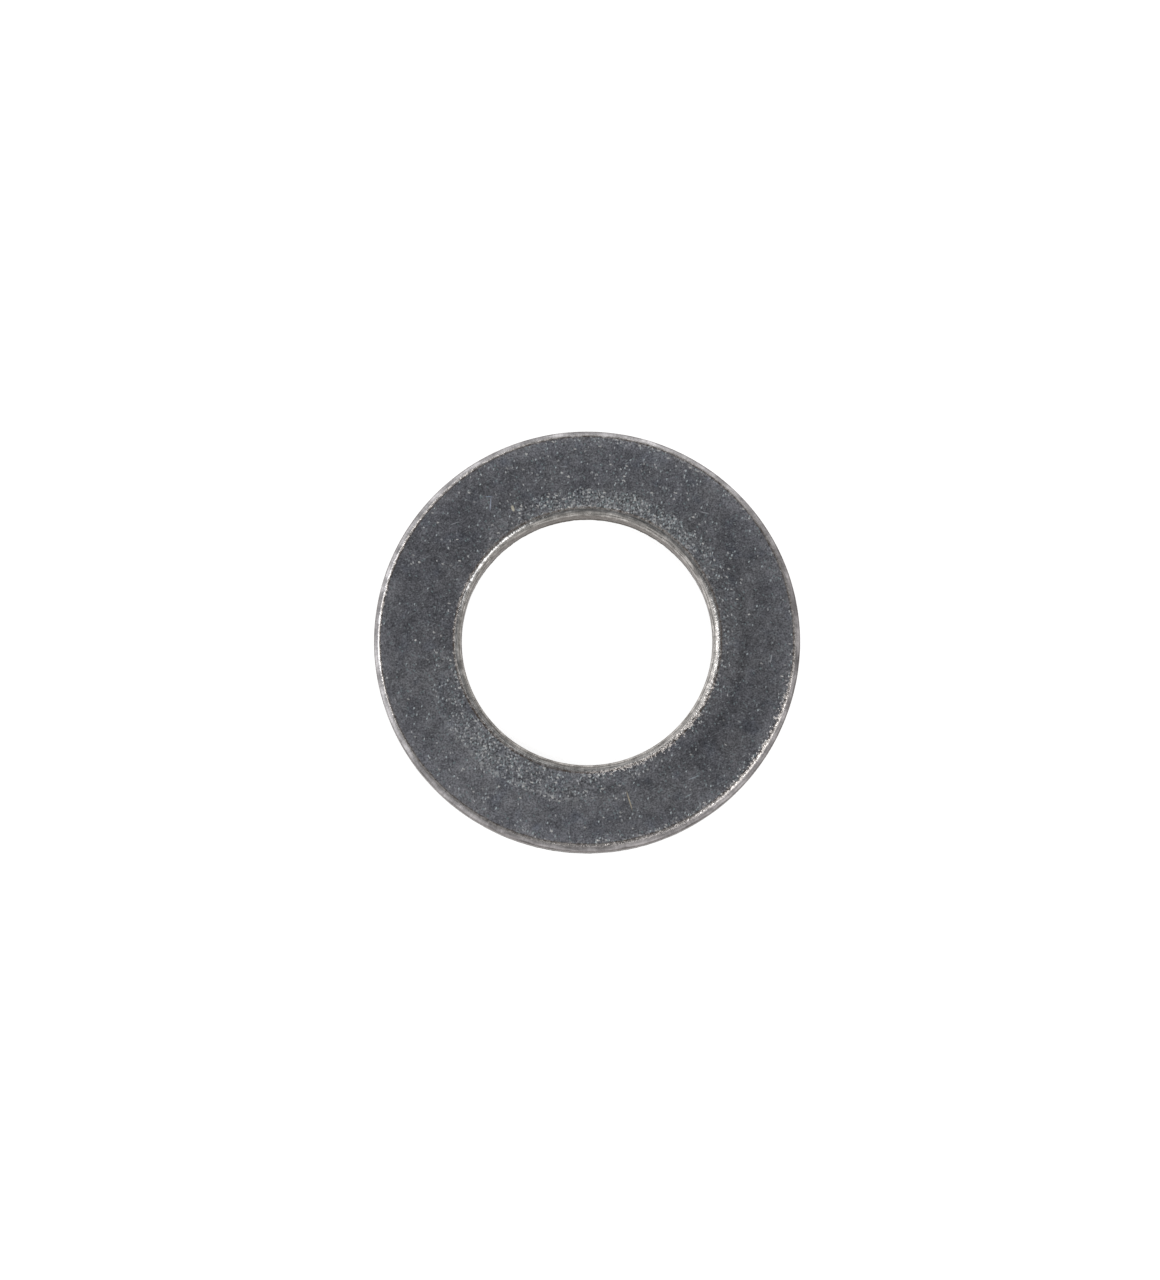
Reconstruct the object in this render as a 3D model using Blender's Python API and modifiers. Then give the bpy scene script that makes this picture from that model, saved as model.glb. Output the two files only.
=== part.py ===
"""Small-series flat washer for an M10 bolt, one ring punched from steel plate.

Frame: metres, +Z up. The origin is the centre of the bore on the bottom bearing face, and the
washer lies flat on that face. The punch came in from above, so both edges of the top face are
rolled over, and the lower part of both walls is torn and leans away from the punch.
"""

import math

import bpy

# Driving dimensions, from the small-series washer table for M10.
OUTER_DIAMETER = 0.0178
BORE_DIAMETER = 0.0105
THICKNESS = 0.0016

# Rolled edges round the top face: how far in they reach, and how far down.
OUTER_ROLL_WIDTH = 0.00028
OUTER_ROLL_DEPTH = 0.00038
BORE_ROLL_WIDTH = 0.00037
BORE_ROLL_DEPTH = 0.00034

# Below TEAR_HEIGHT the walls are torn and lean by TEAR_LEAN. EDGE_BREAK is the deburred corner
# of the bottom face.
TEAR_HEIGHT = 0.00070
TEAR_LEAN = 0.00004
EDGE_BREAK = 0.00007

# Facets: round the ring, and along each rolled edge.
RING_SEGMENTS = 128
ROLL_STEPS = 6
SHARP_ANGLE = math.radians(28)

STEEL_COLOUR = (0.30, 0.31, 0.33, 1.0)
STEEL_ROUGHNESS = 0.42


def clear_scene():
    for obj in list(bpy.data.objects):
        bpy.data.objects.remove(obj)


def steel():
    """Dull, lightly oiled mild steel."""
    material = bpy.data.materials.new("steel")
    material.use_nodes = True
    shader = material.node_tree.nodes["Principled BSDF"]
    shader.inputs["Base Color"].default_value = STEEL_COLOUR
    shader.inputs["Metallic"].default_value = 1.0
    shader.inputs["Roughness"].default_value = STEEL_ROUGHNESS
    return material


def rolled_edge(centre, width, depth, start, end):
    """Quarter of an ellipse about centre, as (radius, height) points. Angle 0 points outwards."""
    points = []
    for step in range(ROLL_STEPS + 1):
        angle = start + (end - start) * step / ROLL_STEPS
        points.append((centre[0] + width * math.cos(angle), centre[1] + depth * math.sin(angle)))
    return points


def washer_outline():
    """The ring's section: across the top face, down the outside, back below and up the bore."""
    outer = OUTER_DIAMETER / 2
    bore = BORE_DIAMETER / 2
    outer_roll = rolled_edge(
        (outer - OUTER_ROLL_WIDTH, THICKNESS - OUTER_ROLL_DEPTH),
        OUTER_ROLL_WIDTH,
        OUTER_ROLL_DEPTH,
        math.radians(90),
        0.0,
    )
    bore_roll = rolled_edge(
        (bore + BORE_ROLL_WIDTH, THICKNESS - BORE_ROLL_DEPTH),
        BORE_ROLL_WIDTH,
        BORE_ROLL_DEPTH,
        math.radians(180),
        math.radians(90),
    )
    below = [
        (outer, TEAR_HEIGHT),
        (outer - TEAR_LEAN, EDGE_BREAK),
        (outer - TEAR_LEAN - EDGE_BREAK, 0.0),
        (bore + TEAR_LEAN + EDGE_BREAK, 0.0),
        (bore + TEAR_LEAN, EDGE_BREAK),
        (bore, TEAR_HEIGHT),
    ]
    return outer_roll + below + bore_roll


def turned_ring(name, outline, material, collection):
    """Spins a closed outline about Z and keeps the result as a plain mesh."""
    profile = bpy.data.meshes.new(name + "_profile")
    edges = [(i, (i + 1) % len(outline)) for i in range(len(outline))]
    profile.from_pydata([(radius, 0.0, height) for radius, height in outline], edges, [])
    ring = bpy.data.objects.new(name, profile)
    collection.objects.link(ring)

    screw = ring.modifiers.new("turn", "SCREW")
    screw.axis = "Z"
    screw.angle = math.tau
    screw.steps = RING_SEGMENTS
    screw.render_steps = RING_SEGMENTS
    screw.use_merge_vertices = False

    graph = bpy.context.evaluated_depsgraph_get()
    ring.data = bpy.data.meshes.new_from_object(ring.evaluated_get(graph))
    ring.modifiers.clear()
    bpy.data.meshes.remove(profile)
    ring.data.name = name
    ring.data.materials.append(material)
    ring.data.shade_smooth()
    ring.data.set_sharp_from_angle(angle=SHARP_ANGLE)
    return ring


def main():
    clear_scene()
    collection = bpy.data.collections.new("flat_washer")
    bpy.context.scene.collection.children.link(collection)
    turned_ring("washer", washer_outline(), steel(), collection)


main()
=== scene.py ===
"""Looks of the flat washer: a worn punched steel ring, a white floor, soft lights and a camera.

The ring is rebuilt here with the wear that the plain solid leaves out. Its section follows the
packed washer: a flat bearing face on top, rolled upper edges, punched walls that are smooth above
and torn below, and a flat face underneath. Angles run anticlockwise from +X, seen from above.
"""

import math

import bpy
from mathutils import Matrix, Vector, noise


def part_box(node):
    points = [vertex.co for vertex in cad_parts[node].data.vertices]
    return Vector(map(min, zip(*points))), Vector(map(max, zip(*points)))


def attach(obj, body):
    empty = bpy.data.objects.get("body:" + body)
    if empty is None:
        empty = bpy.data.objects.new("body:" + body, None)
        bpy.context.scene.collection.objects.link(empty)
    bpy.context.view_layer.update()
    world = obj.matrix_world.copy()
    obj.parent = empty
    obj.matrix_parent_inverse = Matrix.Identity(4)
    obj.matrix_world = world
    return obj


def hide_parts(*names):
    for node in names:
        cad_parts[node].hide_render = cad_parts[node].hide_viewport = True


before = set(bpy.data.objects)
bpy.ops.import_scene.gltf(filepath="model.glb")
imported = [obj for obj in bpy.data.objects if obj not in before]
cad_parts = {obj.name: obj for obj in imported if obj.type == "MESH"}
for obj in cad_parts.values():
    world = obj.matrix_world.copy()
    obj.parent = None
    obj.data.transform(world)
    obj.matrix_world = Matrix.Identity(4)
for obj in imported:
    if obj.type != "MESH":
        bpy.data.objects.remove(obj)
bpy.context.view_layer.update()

MM = 0.001

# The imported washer's own sizes.
CAD_NODE = "washer"
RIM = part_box(CAD_NODE)[1].x
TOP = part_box(CAD_NODE)[1].z
BORE = min(math.hypot(v.co.x, v.co.y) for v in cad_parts[CAD_NODE].data.vertices)
MIDDLE = (RIM + BORE) / 2

# Section: the rolled edges' width and depth, and the slope that each one starts with at the crisp
# border of the top face. Below TEAR_HEIGHT the walls are torn and lean by TEAR_LEAN, down to the
# broken corner of the bottom face.
RIM_ROLL = (0.25 * MM, 0.36 * MM)
BORE_ROLL = (0.335 * MM, 0.34 * MM)
ROLL_START = math.radians(20)
TEAR_HEIGHT = 0.70 * MM
TEAR_LEAN = 0.04 * MM
EDGE_BREAK = 0.06 * MM

# How much wider the rim's roll gets in places, and how much narrower the bore's.
RIM_ROLL_GAIN = 0.045 * MM
BORE_ROLL_LOSS = 0.055 * MM

# How far the punched outlines wander from a true circle, and how much smaller the rim's radius and
# larger the bore's radius is along Y than along X.
RIM_WANDER = 0.012 * MM
BORE_WANDER = 0.032 * MM
RIM_OVAL = 0.025 * MM
BORE_OVAL = 0.018 * MM

# How far the borders of the face wander, and the top of the torn part. How deep the relief of the
# torn part and of the top face is, and how far the line of painted highlight, bright wear and stain
# reaches from a border.
BORDER_WANDER = 0.012 * MM
TEAR_WANDER = 0.11 * MM
TEAR_RELIEF = 0.018 * MM
FACE_RELIEF = 0.003 * MM
EDGE_LINE_REACH = 0.085 * MM

# Size of the lumps in that relief: coarse and fine ones on torn steel, and waves of the top face.
TEAR_LUMP = 0.22 * MM
TEAR_FINE_LUMP = 0.09 * MM
FACE_WAVE = 1.1 * MM

# Mesh density: sections round the ring, and stations along each stretch of a section.
SECTIONS = 1152
FACE_STATIONS = 24
ROLL_STATIONS = 9
LAND_STATIONS = 5
TORN_STATIONS = 9
BOTTOM_STATIONS = 6

# Dents in the rim's upper edge, which bite into the border of the face: (angle in degrees, half
# width, depth).
RIM_NICKS = (
    (166, 0.12 * MM, 0.07 * MM),
    (94, 0.10 * MM, 0.06 * MM),
    (92, 0.08 * MM, 0.05 * MM),
    (85.3, 0.10 * MM, 0.08 * MM),
    (341, 0.10 * MM, 0.03 * MM),
    (212, 0.09 * MM, 0.02 * MM),
)


# ---------------------------------------------------------------- ring geometry


def around(angle, radius, feature, seed):
    """Smooth noise from -1 to 1 along a circle, with lumps about feature long."""
    turns = Vector((math.cos(angle), math.sin(angle), 0.0)) * (radius / feature)
    return noise.noise(turns + Vector((0.0, 0.0, 17.3 * seed)))


def hump(angle, centre_degrees, half_width_degrees):
    """1 at a place on the circle, falling smoothly to 0 at half_width_degrees either side."""
    gap = (math.degrees(angle) - centre_degrees + 180.0) % 360.0 - 180.0
    share = max(0.0, 1.0 - abs(gap) / half_width_degrees)
    return share * share * (3.0 - 2.0 * share)


def shares(count, crowding=0.0):
    """count shares from 0 up to 1, without 1 itself, closer at both ends as crowding nears 1."""
    return [i / count - crowding * math.sin(math.tau * i / count) / math.tau for i in range(count)]


def nick_depth(angle):
    """How far the dents bite into the border of the face at one angle."""
    depth = 0.0
    for degrees, width, deepest in RIM_NICKS:
        depth += deepest * hump(angle, degrees, math.degrees(width / RIM))
    return depth


def border_wander(angle, seed):
    """How far the face's border strays: fine raggedness, more of it where the edge is burred."""
    burr = 1.0 + 2.2 * hump(angle, 324, 26) + 0.8 * hump(angle, 168, 34)
    fine = 0.6 * around(angle, RIM, 0.35 * MM, seed) + 0.4 * around(angle, RIM, 0.12 * MM, seed + 1)
    return BORDER_WANDER * (burr * fine + around(angle, RIM, 2.5 * MM, seed + 2))


def rolled(inner, outer, count):
    """Stations of a rolled edge between its border with the face and the foot of the roll.

    inner and outer are (radius, height) of the border and of the foot. The curve leaves the border
    at ROLL_START and reaches the foot upright.
    """
    turn = math.pi / 2 - ROLL_START
    reach = outer[0] - inner[0]
    drop = inner[1] - outer[1]
    stations = []
    for share in shares(count):
        angle = ROLL_START + turn * share
        across = (math.sin(angle) - math.sin(ROLL_START)) / (1.0 - math.sin(ROLL_START))
        down = 1.0 - math.cos(angle) / math.cos(ROLL_START)
        stations.append((inner[0] + reach * across, inner[1] - drop * down))
    return stations


def wall(radius, top, lean, tear):
    """Stations of one punched wall from its roll down: the smooth land, then the torn part.

    lean is how far the torn part moves along the radius by the bottom. Each station also says how
    torn it is, from 0 to 1.
    """
    stations = [(radius, top - (top - tear) * share, 0.0) for share in shares(LAND_STATIONS)]
    for share in shares(TORN_STATIONS):
        height = tear - (tear - EDGE_BREAK) * share
        stations.append((radius + lean * share, height, min(1.0, share * 4.0)))
    return stations


def section(angle):
    """The ring's section at one angle, as (radius, height, on a wall, torn) stations."""
    oval = math.sin(angle) ** 2
    rim = RIM - RIM_WANDER * (0.5 + 0.5 * around(angle, RIM, 9.0 * MM, 1))
    rim -= RIM_OVAL * oval
    bore = BORE - BORE_WANDER * (0.5 + 0.5 * around(angle, BORE, 5.0 * MM, 2)) + BORE_OVAL * oval
    gain = hump(angle, 132, 45) + hump(angle, 300, 55) + 0.6 * hump(angle, 15, 40)
    rim_border = RIM - RIM_OVAL * oval - RIM_ROLL[0] - RIM_ROLL_GAIN * gain - nick_depth(angle)
    rim_border += border_wander(angle, 3)
    bore_border = BORE + BORE_ROLL[0] - BORE_ROLL_LOSS * hump(angle, 140, 110)
    bore_border += border_wander(angle, 7)
    rim_tear = TEAR_HEIGHT + TEAR_WANDER * around(angle, RIM, 0.9 * MM, 11)
    bore_tear = TEAR_HEIGHT + TEAR_WANDER * around(angle, BORE, 0.9 * MM, 12)

    stations = []
    for share in shares(FACE_STATIONS, 0.9):
        stations.append((bore_border + (rim_border - bore_border) * share, TOP, 0.0, 0.0))
    for radius, height in rolled((rim_border, TOP), (rim, TOP - RIM_ROLL[1]), ROLL_STATIONS):
        stations.append((radius, height, 1.0, 0.0))
    for radius, height, torn in wall(rim, TOP - RIM_ROLL[1], -TEAR_LEAN, rim_tear):
        stations.append((radius, height, 1.0, torn))
    rim_foot = rim - TEAR_LEAN
    bore_foot = bore + TEAR_LEAN
    stations.append((rim_foot, EDGE_BREAK, 1.0, 1.0))
    for share in shares(BOTTOM_STATIONS):
        start = rim_foot - EDGE_BREAK
        stations.append((start + (bore_foot + EDGE_BREAK - start) * share, 0.0, 0.0, 0.0))
    stations.append((bore_foot + EDGE_BREAK, 0.0, 0.0, 0.0))

    bore_wall = wall(bore, TOP - BORE_ROLL[1], TEAR_LEAN, bore_tear)
    bore_roll = rolled((bore_border, TOP), (bore, TOP - BORE_ROLL[1]), ROLL_STATIONS)
    stations.append((bore_foot, EDGE_BREAK, 1.0, 1.0))
    for radius, height, torn in reversed(bore_wall):
        stations.append((radius, height, 1.0, torn))
    for radius, height in reversed(bore_roll[1:]):
        stations.append((radius, height, 1.0, 0.0))
    return stations


def nearness(station, borders):
    """1 on a crisp border of the top face, falling to 0 at EDGE_LINE_REACH from it along the radius."""
    gap = min(abs(station[0] - border) for border in borders)
    return max(0.0, 1.0 - gap / EDGE_LINE_REACH) if station[1] > TOP - EDGE_LINE_REACH else 0.0


def worn_point(angle, station):
    """The place of a station, with the fine relief of its surface."""
    radius, height, on_wall, torn = station
    direction = Vector((math.cos(angle), math.sin(angle), 0.0))
    place = direction * radius + Vector((0.0, 0.0, height))
    if torn > 0.0:
        chunks = noise.noise(place / TEAR_LUMP) + 0.6 * noise.noise(place / TEAR_FINE_LUMP)
        inward = -1.0 if radius > MIDDLE else 1.0
        place += direction * inward * TEAR_RELIEF * torn * (0.8 + 0.5 * chunks)
    if on_wall == 0.0 and height > 0.0:
        place.z -= FACE_RELIEF * (0.5 + 0.5 * noise.noise(place / FACE_WAVE))
    return place


def ring_mesh(name):
    """The whole ring. Each point keeps how much it is on a wall, on torn steel and on an edge."""
    points = []
    on_wall = []
    torn = []
    edge = []
    for index in range(SECTIONS):
        angle = math.tau * index / SECTIONS
        stations = section(angle)
        borders = (stations[0][0], stations[FACE_STATIONS][0])
        for station in stations:
            points.append(worn_point(angle, station))
            on_wall.append(station[2])
            torn.append(station[3])
            edge.append(nearness(station, borders))
    count = len(points) // SECTIONS
    faces = []
    for index in range(SECTIONS):
        here = index * count
        there = (index + 1) % SECTIONS * count
        for row in range(count):
            after = (row + 1) % count
            faces.append((here + row, here + after, there + after, there + row))
    mesh = bpy.data.meshes.new(name)
    mesh.from_pydata(points, [], faces)
    for label, values in (("on_wall", on_wall), ("torn", torn), ("edge", edge)):
        mesh.attributes.new(label, "FLOAT", "POINT").data.foreach_set("value", values)
    mesh.shade_smooth()
    return mesh


# ---------------------------------------------------------------- shader helpers


def put(tree, value, socket):
    """Links value to a socket if it is another node's output, or else sets it there."""
    if isinstance(value, bpy.types.NodeSocket):
        tree.links.new(value, socket)
    else:
        socket.default_value = value


def calc(tree, operation, *values):
    """The result of a Math node for one to three values."""
    node = tree.nodes.new("ShaderNodeMath")
    node.operation = operation
    for value, socket in zip(values, node.inputs):
        put(tree, value, socket)
    return node.outputs[0]


def times(tree, first, *others):
    """The product of two or more values."""
    product = first
    for other in others:
        product = calc(tree, "MULTIPLY", product, other)
    return product


def fade(tree, value, low, high, out_low=0.0, out_high=1.0):
    """out_low where value is at or below low, out_high at or above high, smooth between."""
    node = tree.nodes.new("ShaderNodeMapRange")
    node.interpolation_type = "SMOOTHSTEP"
    for given, label in (
        (value, "Value"),
        (low, "From Min"),
        (high, "From Max"),
        (out_low, "To Min"),
        (out_high, "To Max"),
    ):
        put(tree, given, node.inputs[label])
    return node.outputs["Result"]


def grain(tree, place, feature, seed, detail=1.0, stretch=(1.0, 1.0, 1.0)):
    """Noise from 0 to 1 with lumps about feature across, seen at a place in metres."""
    scaled = tree.nodes.new("ShaderNodeVectorMath")
    scaled.operation = "MULTIPLY"
    put(tree, place, scaled.inputs[0])
    scaled.inputs[1].default_value = stretch
    node = tree.nodes.new("ShaderNodeTexNoise")
    node.noise_dimensions = "4D"
    tree.links.new(scaled.outputs[0], node.inputs["Vector"])
    node.inputs["W"].default_value = 7.7 * seed
    node.inputs["Scale"].default_value = 1.0 / feature
    node.inputs["Detail"].default_value = detail
    return node.outputs["Fac"]


def mix(tree, factor, first, second, kind="MIX"):
    """first with second over it. Inputs 6 and 7 of the node and its output 2 are its colours."""
    node = tree.nodes.new("ShaderNodeMix")
    node.data_type = "RGBA"
    node.blend_type = kind
    put(tree, factor, node.inputs[0])
    put(tree, first, node.inputs[6])
    put(tree, second, node.inputs[7])
    return node.outputs[2]


def grey(tree, value):
    """A colour socket with the same value in all three channels."""
    node = tree.nodes.new("ShaderNodeCombineColor")
    for socket in node.inputs:
        put(tree, value, socket)
    return node.outputs[0]


def surface_place(tree):
    """The place on the object, in metres from its origin."""
    return tree.nodes.new("ShaderNodeTexCoord").outputs["Object"]


def polar_place(tree, place):
    """Distance from the washer's axis and the angle round it, in radians from -pi to pi."""
    parts = tree.nodes.new("ShaderNodeSeparateXYZ")
    tree.links.new(place, parts.inputs[0])
    squares = [calc(tree, "POWER", part, 2.0) for part in parts.outputs[:2]]
    radius = calc(tree, "SQRT", calc(tree, "ADD", *squares))
    angle = calc(tree, "ARCTAN2", parts.outputs[1], parts.outputs[0])
    return radius, angle


def toward(tree, angle, degrees, sharpness):
    """1 at an angle round the washer, falling to 0 opposite it. A higher sharpness is narrower."""
    turned = calc(tree, "SUBTRACT", angle, math.radians(degrees))
    half = calc(tree, "MULTIPLY_ADD", calc(tree, "COSINE", turned), 0.5, 0.5)
    return calc(tree, "POWER", half, sharpness)


# ---------------------------------------------------------------- steel

FACE_DARK = (0.159, 0.161, 0.180, 1.0)
FACE_PALE = (0.201, 0.202, 0.218, 1.0)
FACE_BLUE = (0.145, 0.156, 0.186, 1.0)
SPECK = (0.40, 0.43, 0.455, 1.0)
SPECK_TEAL = (0.33, 0.41, 0.43, 1.0)
# Painted glints, whiter than the steel: light caught by tiny facets of the face.
FLAKE_GLINT = (0.82, 0.92, 0.95, 1.0)
FLAKE_GLINT_WARM = (0.98, 0.98, 0.96, 1.0)
GLINT = (0.88, 0.90, 0.91, 1.0)
CRUSHED = (0.37, 0.38, 0.39, 1.0)
# Painted highlight for worn edges, whiter than steel reflects: the line where each roll starts, and
# the frays.
WORN_EDGE_HIGHLIGHT = (0.94, 0.885, 0.840, 1.0)
# Lit and shaded copies of the walls' land: painted light, paler where a wall faces the left
# softbox.
RIM_LAND_LIT = (0.385, 0.374, 0.381, 1.0)
RIM_LAND_SHADED = (0.220, 0.208, 0.209, 1.0)
BORE_ROLL_GREY = (0.28, 0.279, 0.278, 1.0)
BORE_LAND = (0.276, 0.264, 0.251, 1.0)
BORE_LAND_LIT = (0.445, 0.427, 0.410, 1.0)
TORN_DARK = (0.170, 0.157, 0.146, 1.0)
STAIN = (0.110, 0.080, 0.062, 1.0)
# How much of a clean metal's reflection is left at a grazing angle, where dirt and oxide dull it.
GRAZING = (0.42, 0.40, 0.39, 1.0)

# Borders of the top face, where the rolled edges start.
BORE_BORDER = BORE + BORE_ROLL[0]
RIM_BORDER = RIM - RIM_ROLL[0]

# Scratches on the top face: (from x, y, to x, y, width, colour). Lengths in millimetres.
SCRATCHES = (
    (1.63, -6.37, 1.87, -7.16, 0.060, (0.72, 0.64, 0.50, 1.0)),
    (-4.02, 6.03, -4.06, 5.41, 0.045, (0.62, 0.68, 0.82, 1.0)),
    (-4.27, 6.03, -3.94, 6.04, 0.040, (0.50, 0.56, 0.70, 1.0)),
    (-3.15, 5.66, -3.06, 5.40, 0.125, (1.0, 0.95, 0.78, 1.0)),
    (-5.73, 4.82, -5.36, 4.97, 0.040, (0.50, 0.52, 0.56, 1.0)),
    (-1.15, 7.30, -0.82, 7.31, 0.040, (0.54, 0.57, 0.62, 1.0)),
    (4.71, 5.40, 5.14, 5.29, 0.035, (0.60, 0.62, 0.66, 1.0)),
    (4.18, -5.90, 4.66, -5.72, 0.050, (0.56, 0.62, 0.68, 1.0)),
    (4.05, -6.62, 4.32, -6.50, 0.045, (0.58, 0.66, 0.70, 1.0)),
    (4.66, -6.82, 4.70, -6.98, 0.050, (0.60, 0.66, 0.70, 1.0)),
    (7.70, -0.62, 7.62, -1.02, 0.050, (0.60, 0.62, 0.66, 1.0)),
    (-4.75, -7.42, -4.70, -7.10, 0.050, (0.50, 0.52, 0.58, 1.0)),
)

# Sectors of the face with painted glitter, from the bore outwards: (outer radius, middle angle in
# degrees, how narrow, strength).
SPARKLES = (
    (6.55 * MM, 74, 6.0, 1.8),
    (6.95 * MM, 234, 8.0, 1.3),
    (6.35 * MM, 268, 12.0, 1.0),
    (6.20 * MM, 15, 2.0, 0.6),
    (RIM, 85, 4.0, 0.25),
    (RIM, 236, 5.0, 0.15),
)

# Ragged bright wear with painted glints and highlight that starts at or beside a border of the face
# and reaches across it: (radius where it starts, reach outwards, middle angle in degrees, how
# narrow, strength). A negative reach goes inwards.
FRAYS_AND_GLINTS = (
    (BORE_BORDER - 0.02 * MM, 0.26 * MM, 308, 12.0, 1.0),
    (BORE_BORDER - 0.11 * MM, 0.22 * MM, 328, 18.0, 1.0),
    (BORE_BORDER, 0.24 * MM, 284, 60.0, 0.9),
    (BORE_BORDER - 0.07 * MM, 0.12 * MM, 222, 5.0, 0.38),
    (BORE_BORDER, 0.20 * MM, 76, 3.0, 0.35),
    (BORE_BORDER - 0.05 * MM, 0.12 * MM, 178, 8.0, 0.60),
    (RIM_BORDER, -0.26 * MM, 329, 20.0, 1.0),
    (RIM_BORDER, -0.16 * MM, 280, 8.0, 0.34),
    (RIM_BORDER, -0.09 * MM, 145, 6.0, 0.90),
    (RIM_BORDER, -0.30 * MM, 66, 5.0, 0.22),
    (RIM_BORDER, -0.14 * MM, 8, 5.0, 0.15),
    (RIM_BORDER, -0.34 * MM, 290, 4.0, 0.18),
)

# Specks on the face, in layers: (spacing, seed, share of the places that hold one, how much that
# share gains where the face has painted glitter, size as a share of the spacing, direction in
# radians, colour). The grey and teal specks are pale grain; the white ones are painted glints.
SPECK_LAYERS = (
    (0.080 * MM, 5, 0.25, 0.25, 0.40, 0.4, SPECK),
    (0.11 * MM, 6, 0.14, 0.35, 0.34, 2.2, SPECK_TEAL),
    (0.080 * MM, 9, 0.0, 0.34, 0.46, 1.8, GLINT),
    (0.12 * MM, 7, 0.04, 0.50, 0.29, 1.2, FLAKE_GLINT),
    (0.19 * MM, 8, 0.022, 0.50, 0.22, 2.9, FLAKE_GLINT_WARM),
)
SPECK_STRETCH = 1.7

# Hairlines on the face: (direction in degrees, seed).
HAIRLINES = ((78, 31), (-24, 32), (28, 33))
HAIRLINE_SPACING = 0.075 * MM
HAIRLINE_SHARE = 0.07
HAIRLINE_SIZE = 0.34
HAIRLINE_STRETCH = 9.0

# Width of the ring crushed pale beside the bore: its least, what it gains where it is ragged, and
# what it gains at the lower left and at the upper right.
CRUSHED_WIDTH = 0.02 * MM
CRUSHED_RAGGED = 1.3 * MM
CRUSHED_LOW = 0.50 * MM
CRUSHED_HIGH = 0.20 * MM

# A faint groove, painted as a shaded line, whose radius grows by GROOVE_RISE at the right, and a
# broken ridge painted bright with glints. Both are arcs about the axis.
GROOVE_RADIUS = 6.37 * MM
GROOVE_RISE = 0.20 * MM
GROOVE_HALF_WIDTH = 0.27 * MM
RIDGE_RADIUS = 6.62 * MM
RIDGE_WANDER = 0.3 * MM
RIDGE_HALF_WIDTH = 0.18 * MM

# The paler strip of the face beside the rim: where it starts, and where it is full.
STRIP = (7.75 * MM, 8.45 * MM)

# A painted shadow line round the bore's roll, darkest at the lower left, and the heights between
# which the hoops round the rolls come in.
SHADOW_LINE_RADIUS = BORE + 0.135 * MM
SHADOW_LINE_HALF_WIDTH = 0.055 * MM
HOOPS_START = (TOP - 0.42 * MM, TOP - 0.30 * MM)

# Depth of the pits all over the steel, and how many times as proud the burrs of the wear stand.
PIT_DEPTH = 0.012 * MM
BURR_RELIEF = 5.0


def face_tone(tree, radius, angle):
    """How much paler the face is at the lower left, at the top, and in a strip beside the rim."""
    low = times(tree, toward(tree, angle, 246, 4.0), 0.42)
    high = calc(tree, "MULTIPLY_ADD", toward(tree, angle, 80, 3.0), 0.25, 1.0)
    upper_right = calc(tree, "MULTIPLY_ADD", toward(tree, angle, 52, 3.0), 0.9, 1.0)
    strip = times(tree, fade(tree, radius, STRIP[0], STRIP[1], 0.0, 0.20), upper_right)
    return calc(tree, "ADD", calc(tree, "ADD", low, high), strip)


def face_grain(tree, place, sparkle):
    """Brightness of the mill surface: fine grain and soft clouds, pitted where it glitters."""
    lumps = fade(tree, grain(tree, place, 0.066 * MM, 3, detail=3.0), 0.25, 0.80, 0.57, 1.65)
    mottle = fade(tree, grain(tree, place, 0.26 * MM, 24, detail=2.0), 0.28, 0.72, 0.84, 1.17)
    clouds = fade(tree, grain(tree, place, 0.70 * MM, 22, detail=3.0), 0.25, 0.75, 0.84, 1.18)
    pitted = fade(tree, grain(tree, place, 0.085 * MM, 23), 0.38, 0.62, -0.46, 0.42)
    pitted = calc(tree, "MULTIPLY_ADD", pitted, calc(tree, "MINIMUM", sparkle, 1.0), 1.0)
    return times(tree, lumps, mottle, clouds, pitted)


def specks(tree, place, spacing, seed, share, size, turn, stretch):
    """Crisp specks about spacing apart on the face, with ragged outlines. From 0 to 1.

    share is how many of the places hold one, and size its radius as a share of spacing. stretch
    makes them longer along the direction turn, in radians.
    """
    shifted = tree.nodes.new("ShaderNodeMapping")
    shifted.vector_type = "TEXTURE"
    shifted.inputs["Location"].default_value = (0.37 * seed * MM, 0.23 * seed * MM, 0.0)
    shifted.inputs["Rotation"].default_value = (0.0, 0.0, turn)
    shifted.inputs["Scale"].default_value = (stretch, 1.0, 1.0)
    tree.links.new(place, shifted.inputs["Vector"])
    cells = tree.nodes.new("ShaderNodeTexVoronoi")
    cells.voronoi_dimensions = "2D"
    cells.inputs["Scale"].default_value = 1.0 / spacing
    tree.links.new(shifted.outputs[0], cells.inputs["Vector"])
    parts = tree.nodes.new("ShaderNodeSeparateColor")
    tree.links.new(cells.outputs["Color"], parts.inputs[0])
    ragged = calc(tree, "MULTIPLY_ADD", grain(tree, place, 0.35 * spacing, seed), 0.5, -0.25)
    away = calc(tree, "ADD", cells.outputs["Distance"], ragged)
    speck = fade(tree, away, 0.55 * size, size, 1.0, 0.0)
    chosen = fade(tree, parts.outputs[0], calc(tree, "SUBTRACT", 1.0, share), 1.0)
    return times(tree, speck, chosen)


def arc_line(tree, radius, angle, middle_radius, half_width, middle_degrees, sharpness):
    """A soft line along a circle about the axis, strongest at one angle."""
    off = calc(tree, "ABSOLUTE", calc(tree, "SUBTRACT", radius, middle_radius))
    across = fade(tree, off, 0.2 * half_width, half_width, 1.0, 0.0)
    return times(tree, across, toward(tree, angle, middle_degrees, sharpness))


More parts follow.
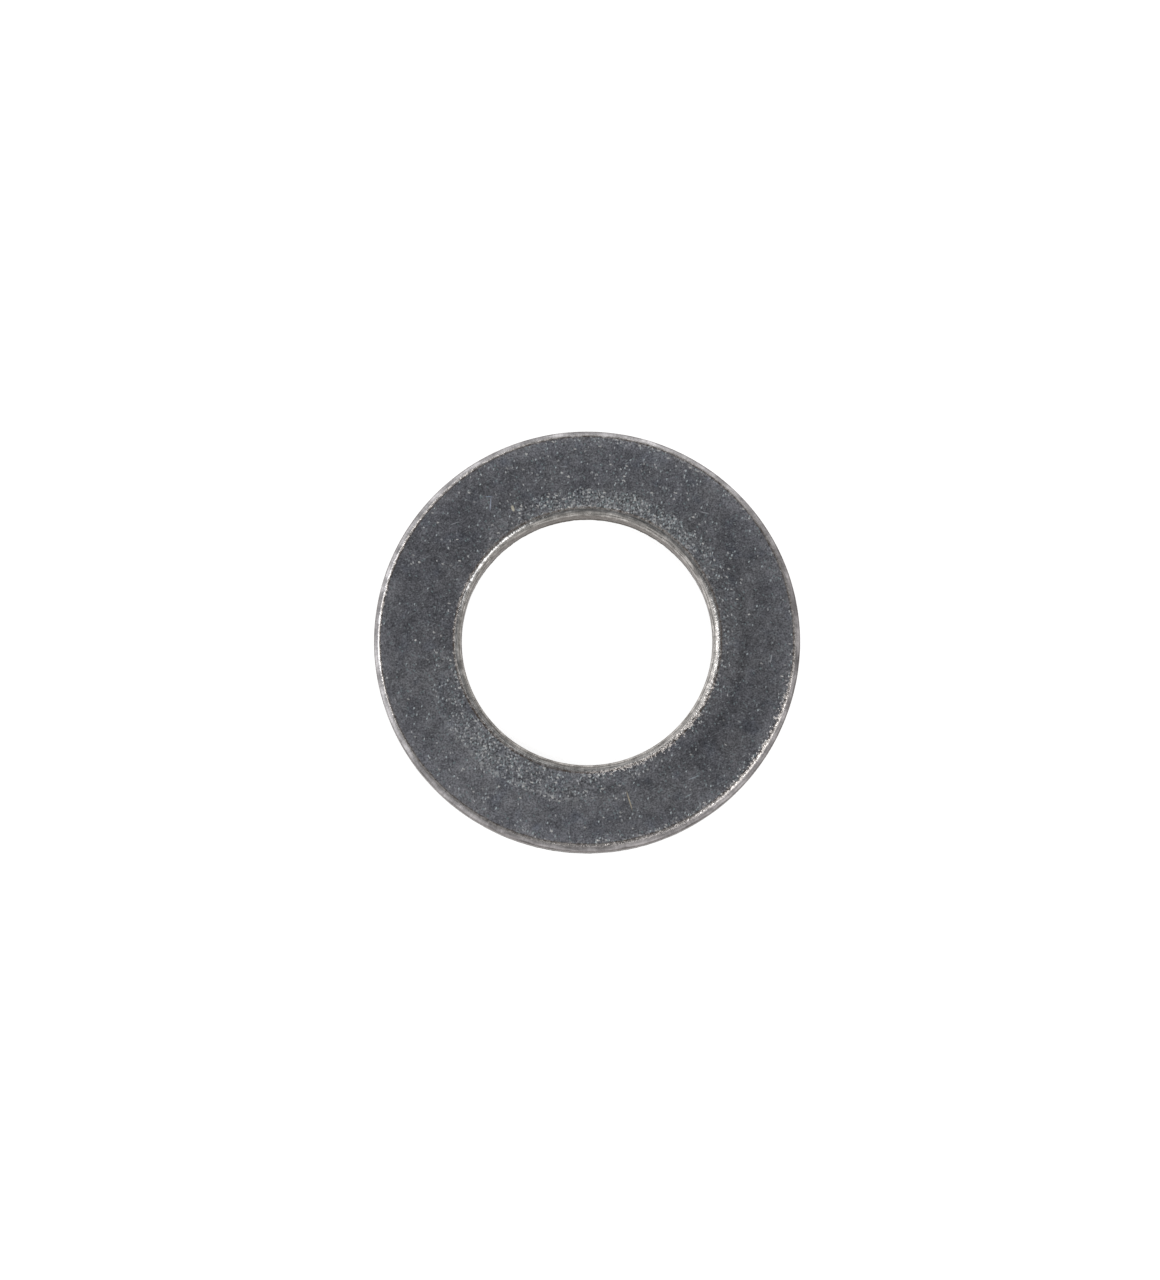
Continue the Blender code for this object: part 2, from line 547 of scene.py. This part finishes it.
def crushed_ring(tree, place, radius, angle):
    """Where the face beside the bore is crushed pale, mostly at the upper right and lower left."""
    low = toward(tree, angle, 236, 6.0)
    high = toward(tree, angle, 68, 11.0)
    strength = fade(tree, calc(tree, "MAXIMUM", high, times(tree, low, 0.42)), 0.0, 1.0, 0.08, 1.0)
    ragged = grain(tree, place, 0.5 * MM, 4, detail=3.0)
    width = calc(tree, "MULTIPLY_ADD", ragged, CRUSHED_RAGGED, CRUSHED_WIDTH)
    width = calc(tree, "MULTIPLY_ADD", low, CRUSHED_LOW, width)
    width = calc(tree, "MULTIPLY_ADD", high, CRUSHED_HIGH, width)
    reach = calc(tree, "DIVIDE", calc(tree, "SUBTRACT", radius, BORE_BORDER), width)
    return times(tree, fade(tree, reach, 0.45, 1.2, 1.0, 0.0), strength)


def sparkling(tree, place, radius, angle):
    """How much painted glitter the face has, in loose clumps: in the SPARKLES sectors, and beside
    the rim.
    """
    total = 0.0
    for outer, degrees, sharpness, strength in SPARKLES:
        inside = fade(tree, radius, outer - 0.35 * MM, outer, strength, 0.0)
        sector = times(tree, inside, toward(tree, angle, degrees, sharpness))
        total = calc(tree, "MAXIMUM", total, sector)
    # Painted glitter beside the rim, at the upper right and lower right, partly rubbed steel.
    rubbed_and_glinting = calc(tree, "MAXIMUM", toward(tree, angle, 68, 4.0), toward(tree, angle, 300, 3.0))
    rim_side = fade(tree, radius, RIM - 0.85 * MM, RIM - 0.30 * MM, 0.0, 0.65)
    total = calc(tree, "MAXIMUM", total, times(tree, rim_side, rubbed_and_glinting))
    clumps = fade(tree, grain(tree, place, 0.30 * MM, 25, detail=2.0), 0.35, 0.62, 0.30, 1.0)
    return times(tree, total, clumps)


def scratched(tree, place, base):
    """base with the listed scratches over it, each a long thin tapering streak."""
    colour = base
    for x0, y0, x1, y1, width, tint in SCRATCHES:
        length = math.hypot(x1 - x0, y1 - y0)
        own = tree.nodes.new("ShaderNodeMapping")
        own.vector_type = "TEXTURE"
        own.inputs["Location"].default_value = ((x0 + x1) / 2 * MM, (y0 + y1) / 2 * MM, TOP)
        own.inputs["Rotation"].default_value = (0.0, 0.0, math.atan2(y1 - y0, x1 - x0))
        own.inputs["Scale"].default_value = (length / 2 * MM, width / 2 * MM, MM)
        tree.links.new(place, own.inputs["Vector"])
        off = tree.nodes.new("ShaderNodeVectorMath")
        off.operation = "LENGTH"
        tree.links.new(own.outputs[0], off.inputs[0])
        colour = mix(tree, fade(tree, off.outputs["Value"], 0.6, 1.25, 0.9, 0.0), colour, tint)
    return colour


def frayed_and_glinting(tree, place, radius, angle):
    """How strongly the ragged bright wear and painted glints of FRAYS_AND_GLINTS show, from 0 to 1.
    """
    teeth = fade(tree, grain(tree, place, 0.12 * MM, 16, detail=3.0), 0.40, 0.72)
    glitter = fade(tree, grain(tree, place, 0.06 * MM, 26), 0.42, 0.56, 0.14, 1.0)
    total = 0.0
    for start, reach, degrees, sharpness, strength in FRAYS_AND_GLINTS:
        depth = calc(tree, "DIVIDE", calc(tree, "SUBTRACT", radius, start), reach)
        inside = fade(tree, depth, -0.35, -0.05)
        within = fade(tree, calc(tree, "SUBTRACT", depth, teeth), -0.15, 0.12, 1.0, 0.0)
        there = times(tree, toward(tree, angle, degrees, sharpness), strength)
        total = calc(tree, "MAXIMUM", total, times(tree, inside, within, there))
    return times(tree, total, glitter)


def mill_colour(tree, place, radius, angle):
    """Dark blue-grey patches of the mill surface, with the painted shade of a faint groove in them.
    """
    patches = grain(tree, place, 1.6 * MM, 1, detail=3.0)
    base = mix(tree, fade(tree, patches, 0.35, 0.65), FACE_DARK, FACE_PALE)
    blue = fade(tree, grain(tree, place, 0.8 * MM, 2, detail=2.0), 0.5, 0.75, 0.0, 0.7)
    base = mix(tree, blue, base, FACE_BLUE)
    rise = toward(tree, angle, 20, 2.0)
    groove_radius = calc(tree, "MULTIPLY_ADD", rise, GROOVE_RISE, GROOVE_RADIUS)
    # Painted shade along the faint groove.
    groove = arc_line(tree, radius, angle, groove_radius, GROOVE_HALF_WIDTH, 342, 3.0)
    tone = face_tone(tree, radius, angle)
    shade = times(tree, calc(tree, "MULTIPLY_ADD", groove, -0.25, 1.0), tone)
    return mix(tree, 1.0, base, grey(tree, shade), "MULTIPLY")


def ridge_glints(tree, place, radius, angle, base):
    """base with the painted glints of a broken bright ridge over it."""
    broken = fade(tree, grain(tree, place, 0.10 * MM, 15, detail=2.0), 0.45, 0.60)
    wander = grain(tree, place, 0.9 * MM, 17)
    ridge_radius = calc(tree, "MULTIPLY_ADD", wander, RIDGE_WANDER, RIDGE_RADIUS)
    ridge = arc_line(tree, radius, angle, ridge_radius, RIDGE_HALF_WIDTH, 240, 16.0)
    return mix(tree, times(tree, ridge, broken, 0.60), base, GLINT)


def speckled(tree, place, sparkle, base):
    """base with the speck layers, the white ones painted glints, and hairlines over it. More specks
    show where the painted glitter is.
    """
    for spacing, seed, share, gain, size, turn, colour in SPECK_LAYERS:
        share = calc(tree, "MULTIPLY_ADD", sparkle, gain, share)
        amount = specks(tree, place, spacing, seed, share, size, turn, SPECK_STRETCH)
        base = mix(tree, times(tree, amount, 0.9), base, colour)
    for degrees, seed in HAIRLINES:
        spacing, share, size = HAIRLINE_SPACING, HAIRLINE_SHARE, HAIRLINE_SIZE
        turn = math.radians(degrees)
        hairs = specks(tree, place, spacing, seed, share, size, turn, HAIRLINE_STRETCH)
        base = mix(tree, times(tree, hairs, 0.55), base, SPECK)
    return base


def face_colour(tree, place, radius, angle):
    """The mill surface with its crushed ring beside the bore, its grain, painted glints and
    scratches.
    """
    base = mill_colour(tree, place, radius, angle)
    ring = crushed_ring(tree, place, radius, angle)
    sparkle = sparkling(tree, place, radius, angle)
    base = mix(tree, times(tree, ring, 0.38), base, CRUSHED)
    base = mix(tree, 1.0, base, grey(tree, face_grain(tree, place, sparkle)), "MULTIPLY")
    base = ridge_glints(tree, place, radius, angle, base)
    return scratched(tree, place, speckled(tree, place, sparkle, base))


def ring_place(tree, angle, across):
    """A place on a circle of radius RIM, with a measure across the punched edge as its height."""
    place = tree.nodes.new("ShaderNodeCombineXYZ")
    tree.links.new(times(tree, calc(tree, "COSINE", angle), RIM), place.inputs[0])
    tree.links.new(times(tree, calc(tree, "SINE", angle), RIM), place.inputs[1])
    tree.links.new(across, place.inputs[2])
    return place.outputs[0]


def edge_lines(tree, radius, angle, height):
    """Brightness of the punched edges: lines down the walls, mottle, and hoops round the rolls."""
    upright = ring_place(tree, angle, height)
    slanted = ring_place(tree, angle, calc(tree, "ADD", radius, height))
    drawn = grain(tree, upright, 0.06 * MM, 8, detail=2.0, stretch=(1.0, 1.0, 0.10))
    mottle = grain(tree, upright, 0.22 * MM, 18, detail=3.0, stretch=(0.45, 0.45, 1.0))
    hoops = grain(tree, slanted, 0.075 * MM, 19, detail=2.0, stretch=(0.07, 0.07, 1.0))
    drawn = fade(tree, drawn, 0.3, 0.7, 0.87, 1.13)
    mottle = fade(tree, mottle, 0.3, 0.7, 0.72, 1.28)
    hoops = fade(tree, hoops, 0.3, 0.7, -0.34, 0.38)
    on_roll = fade(tree, height, HOOPS_START[0], HOOPS_START[1], 0.25, 1.0)
    hoops = calc(tree, "MULTIPLY_ADD", hoops, on_roll, 1.0)
    return times(tree, drawn, mottle, hoops)


def wall_colour(tree, place, radius, angle, torn):
    """Smooth pale land above a darker torn part. The bore's land is browner than the rim's."""
    parts = tree.nodes.new("ShaderNodeSeparateXYZ")
    tree.links.new(place, parts.inputs[0])
    height = parts.outputs[2]
    # Painted light: each land is paler on the side that faces the left softbox, darker elsewhere.
    rim_lit_side = fade(tree, toward(tree, angle, 135, 1.0), 0.20, 0.80)
    rim_land = mix(tree, rim_lit_side, RIM_LAND_SHADED, RIM_LAND_LIT)
    bore_land = mix(tree, toward(tree, angle, 335, 2.0), BORE_LAND, BORE_LAND_LIT)
    beside_face = fade(tree, height, TOP - 0.10 * MM, TOP - 0.01 * MM)
    bore_land = mix(tree, beside_face, bore_land, BORE_ROLL_GREY)
    outside = fade(tree, radius, MIDDLE - 0.1 * MM, MIDDLE + 0.1 * MM)
    land = mix(tree, outside, bore_land, rim_land)
    # Painted shadow: a darker line along the bore's roll, mostly at the lower left.
    painted_shadow_line = arc_line(tree, radius, angle, SHADOW_LINE_RADIUS, SHADOW_LINE_HALF_WIDTH, 235, 3.0)
    painted_shadow_line = calc(tree, "MULTIPLY_ADD", painted_shadow_line, -0.40, 1.0)
    lines = times(tree, edge_lines(tree, radius, angle, height), painted_shadow_line)
    land = mix(tree, 1.0, land, grey(tree, lines), "MULTIPLY")
    chunks = fade(tree, grain(tree, place, 0.08 * MM, 9, detail=3.0), 0.3, 0.7, 0.62, 1.45)
    rough = mix(tree, 1.0, TORN_DARK, grey(tree, chunks), "MULTIPLY")
    return mix(tree, torn, land, rough)


def attribute(tree, label):
    """What the ring's points keep under label."""
    node = tree.nodes.new("ShaderNodeAttribute")
    node.attribute_name = label
    return node.outputs["Fac"]


def edge_highlight_and_stain(tree, place, angle, colour, edge, on_wall):
    """Broken painted highlight, partly bright wear, where each roll starts, with a dark brown stain
    on the face beside it.
    """
    broken = grain(tree, place, 0.16 * MM, 14, detail=2.0)
    bright = times(
        tree,
        fade(tree, edge, 0.25, 0.9),
        fade(tree, broken, 0.35, 0.60, 0.25, 1.0),
        fade(tree, on_wall, 0.0, 1.0, 0.08, 0.60),
        # Painted highlight: strongest on the side that faces the left softbox.
        calc(tree, "MULTIPLY_ADD", toward(tree, angle, 165, 4.0), 0.5, 0.80),
    )
    stain = times(
        tree,
        fade(tree, edge, 0.1, 0.7),
        fade(tree, broken, 0.35, 0.6, 0.95, 0.50),
        fade(tree, on_wall, 0.0, 1.0, 1.0, 0.0),
    )
    return mix(tree, bright, mix(tree, stain, colour, STAIN), WORN_EDGE_HIGHLIGHT)


def uneven(tree, place, pits, wear, on_wall, torn):
    """The bumps of the surface: pits everywhere, and burrs where the bright wear and painted glints
    are.
    """
    burrs = times(tree, grain(tree, place, 0.07 * MM, 27), times(tree, wear, BURR_RELIEF))
    bump = tree.nodes.new("ShaderNodeBump")
    bump.inputs["Distance"].default_value = PIT_DEPTH
    put(tree, fade(tree, torn, 0.0, 1.0, 0.6, 0.8), bump.inputs["Strength"])
    relief = calc(tree, "MULTIPLY_ADD", pits, fade(tree, on_wall, 0.0, 1.0, 1.0, 2.0), burrs)
    tree.links.new(relief, bump.inputs["Height"])
    return bump.outputs[0]


def roughness(tree, pits, on_wall, torn):
    """Roughness of the face and of the walls. Inputs 2 and 3 of the node are its numbers."""
    node = tree.nodes.new("ShaderNodeMix")
    put(tree, on_wall, node.inputs[0])
    put(tree, fade(tree, pits, 0.3, 0.7, 0.34, 0.5), node.inputs[2])
    put(tree, fade(tree, torn, 0.0, 1.0, 0.22, 0.55), node.inputs[3])
    return node.outputs[0]


def steel():
    """Worn mill steel: dull and grained on the face, brighter on the punched walls and edges, with
    painted highlights and glints.
    """
    material = bpy.data.materials.new("worn_steel")
    material.use_nodes = True
    tree = material.node_tree
    shader = tree.nodes["Principled BSDF"]
    place = surface_place(tree)
    radius, angle = polar_place(tree, place)
    on_wall = attribute(tree, "on_wall")
    torn = attribute(tree, "torn")
    edge = attribute(tree, "edge")

    face = face_colour(tree, place, radius, angle)
    walls = wall_colour(tree, place, radius, angle, torn)
    colour = edge_highlight_and_stain(tree, place, angle, mix(tree, on_wall, face, walls), edge, on_wall)
    # Bright wear of the frays, with painted glints and highlight in its colour; its burrs go into
    # the bump.
    wear = frayed_and_glinting(tree, place, radius, angle)
    tree.links.new(mix(tree, wear, colour, WORN_EDGE_HIGHLIGHT), shader.inputs["Base Color"])

    pits = grain(tree, place, 0.10 * MM, 12, detail=2.0)
    tree.links.new(uneven(tree, place, pits, wear, on_wall, torn), shader.inputs["Normal"])
    tree.links.new(roughness(tree, pits, on_wall, torn), shader.inputs["Roughness"])
    shader.inputs["Metallic"].default_value = 1.0
    shader.inputs["Specular Tint"].default_value = GRAZING
    return material


def washer():
    """The worn ring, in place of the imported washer."""
    ring = bpy.data.objects.new("worn_washer", ring_mesh("worn_washer"))
    bpy.context.scene.collection.objects.link(ring)
    ring.data.materials.append(steel())
    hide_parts(CAD_NODE)
    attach(ring, "root")


# ---------------------------------------------------------------- floor, lights and camera


FLOOR_RADIUS = 3.0
FLOOR_GAP = 0.005 * MM
FLOOR_GLOW = 0.68

# The two softboxes' elevation in degrees, distance in metres and size in metres.
SOFTBOX_ELEVATION = 36
SOFTBOX_DISTANCE = 0.9
SOFTBOX_SIZE = (0.50, 0.35)

CAMERA_ELEVATION = math.radians(81.4)
CAMERA_DISTANCE = 178 * MM
CAMERA_LENS = 120.2
AIM_OFFSET = (-0.295 * MM, -0.04 * MM)


def floor():
    """A white floor just under the washer, which glows so that it stays white in the picture."""
    bpy.ops.mesh.primitive_circle_add(vertices=64, radius=FLOOR_RADIUS, fill_type="NGON")
    disc = bpy.context.object
    disc.name = "floor"
    disc.location.z = -FLOOR_GAP
    material = bpy.data.materials.new("white_floor")
    material.use_nodes = True
    shader = material.node_tree.nodes["Principled BSDF"]
    shader.inputs["Base Color"].default_value = (0.8, 0.8, 0.8, 1.0)
    shader.inputs["Roughness"].default_value = 1.0
    shader.inputs["Emission Color"].default_value = (1.0, 1.0, 1.0, 1.0)
    shader.inputs["Emission Strength"].default_value = FLOOR_GLOW
    disc.data.materials.append(material)


def studio():
    """A white room at eye level under a dark ceiling, which the flat face reflects."""
    world = bpy.data.worlds.new("studio")
    world.use_nodes = True
    bpy.context.scene.world = world
    tree = world.node_tree
    parts = tree.nodes.new("ShaderNodeSeparateXYZ")
    tree.links.new(tree.nodes.new("ShaderNodeTexCoord").outputs["Generated"], parts.inputs[0])
    strength = fade(tree, parts.outputs[2], 0.25, 0.80, 1.0, 0.30)
    tree.links.new(strength, tree.nodes["Background"].inputs["Strength"])
    tree.nodes["Background"].inputs["Color"].default_value = (1.0, 1.0, 1.0, 1.0)


def softbox(name, degrees, power):
    """A rectangular light at an angle round the washer, which it faces."""
    data = bpy.data.lights.new(name, "AREA")
    data.shape = "RECTANGLE"
    data.size, data.size_y = SOFTBOX_SIZE
    data.energy = power
    lamp = bpy.data.objects.new(name, data)
    azimuth = math.radians(degrees)
    elevation = math.radians(SOFTBOX_ELEVATION)
    away = Vector(
        (
            math.cos(azimuth) * math.cos(elevation),
            math.sin(azimuth) * math.cos(elevation),
            math.sin(elevation),
        )
    )
    lamp.location = away * SOFTBOX_DISTANCE
    lamp.rotation_euler = away.to_track_quat("Z", "Y").to_euler()
    bpy.context.scene.collection.objects.link(lamp)


def camera():
    """Almost straight above, tipped towards -Y. The washer sits a little right of the middle."""
    data = bpy.data.cameras.new("camera")
    data.lens = CAMERA_LENS
    data.clip_start = 10 * MM
    data.clip_end = 10.0
    eye = bpy.data.objects.new("camera", data)
    aim = Vector((AIM_OFFSET[0], AIM_OFFSET[1], TOP))
    back = Vector((0.0, -math.cos(CAMERA_ELEVATION), math.sin(CAMERA_ELEVATION)))
    eye.location = aim + back * CAMERA_DISTANCE
    eye.rotation_euler = back.to_track_quat("Z", "Y").to_euler()
    bpy.context.scene.collection.objects.link(eye)
    bpy.context.scene.camera = eye


washer()
floor()
studio()
softbox("left_softbox", 161, 1.8)
softbox("right_softbox", 328, 2.1)
camera()
bpy.context.scene.view_settings.view_transform = "Standard"
